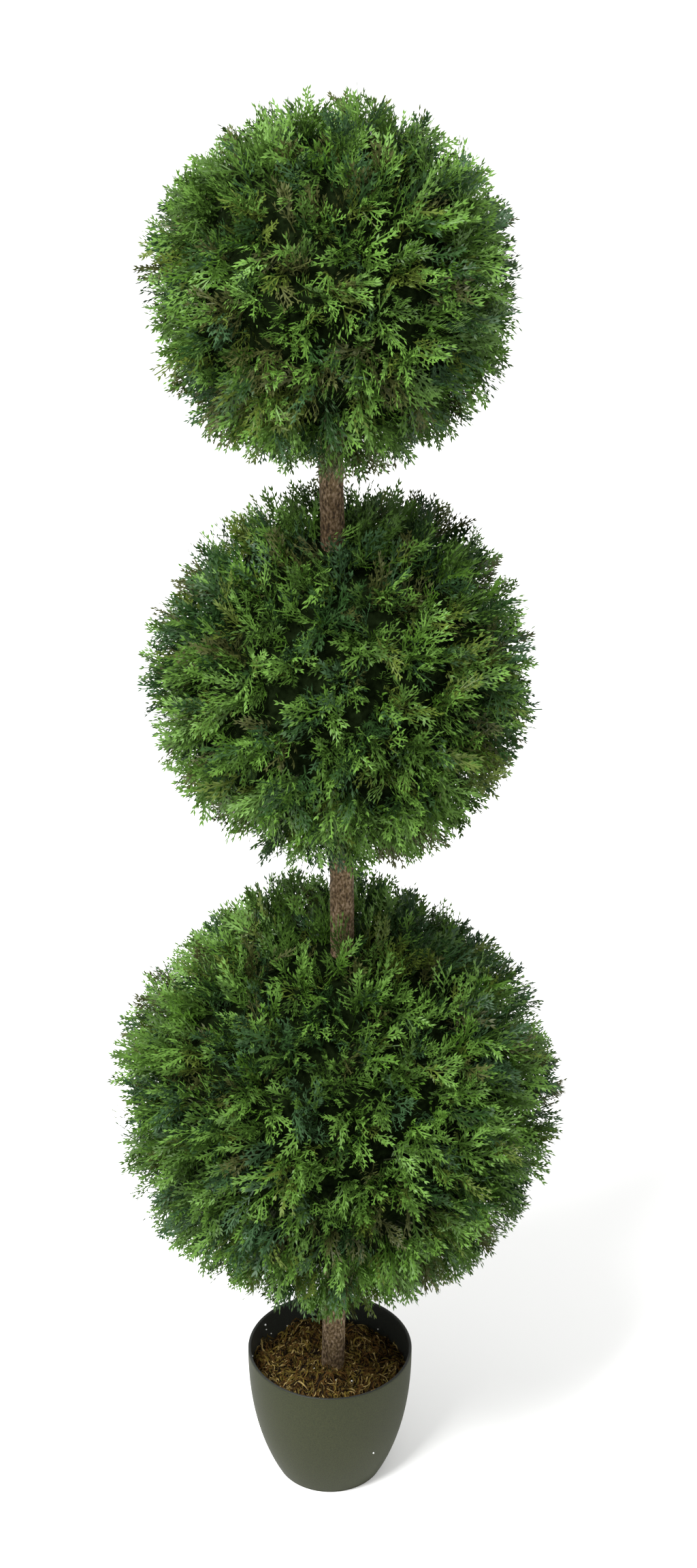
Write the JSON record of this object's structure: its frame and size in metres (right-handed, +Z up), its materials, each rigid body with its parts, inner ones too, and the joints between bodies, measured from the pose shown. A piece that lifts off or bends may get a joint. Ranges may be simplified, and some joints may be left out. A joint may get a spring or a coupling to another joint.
{
  "type": "artificial potted thuja pompon topiary",
  "caption": "Artificial conifer topiary: clipped balls of thuja sprays in falling sizes on a slim bowed stem, in a round plastic pot topped with moss.",
  "frame": {"origin": "middle of the pot's flat underside, on the pot's axis", "axes": "+Z up along the stem; the front faces -Y; the stem bows slightly towards +X"},
  "size_m": [0.4331, 0.4337, 1.4973],
  "materials": {
    "pot_plastic": "matt moulded plastic, olive grey outside and dark inside",
    "cast_filling": "rough cast cement",
    "dry_moss": "dry matted moss",
    "stem_bark": "thin flaking bark",
    "foliage": "soft moulded plastic sprays"
  },
  "bodies": {
    "root": {"pot": "pot_plastic", "pot_filling": "cast_filling", "moss": "dry_moss", "stem": "stem_bark", "ball_bottom": "foliage", "ball_middle": "foliage", "ball_top": "foliage"}
  },
  "joints": []
}
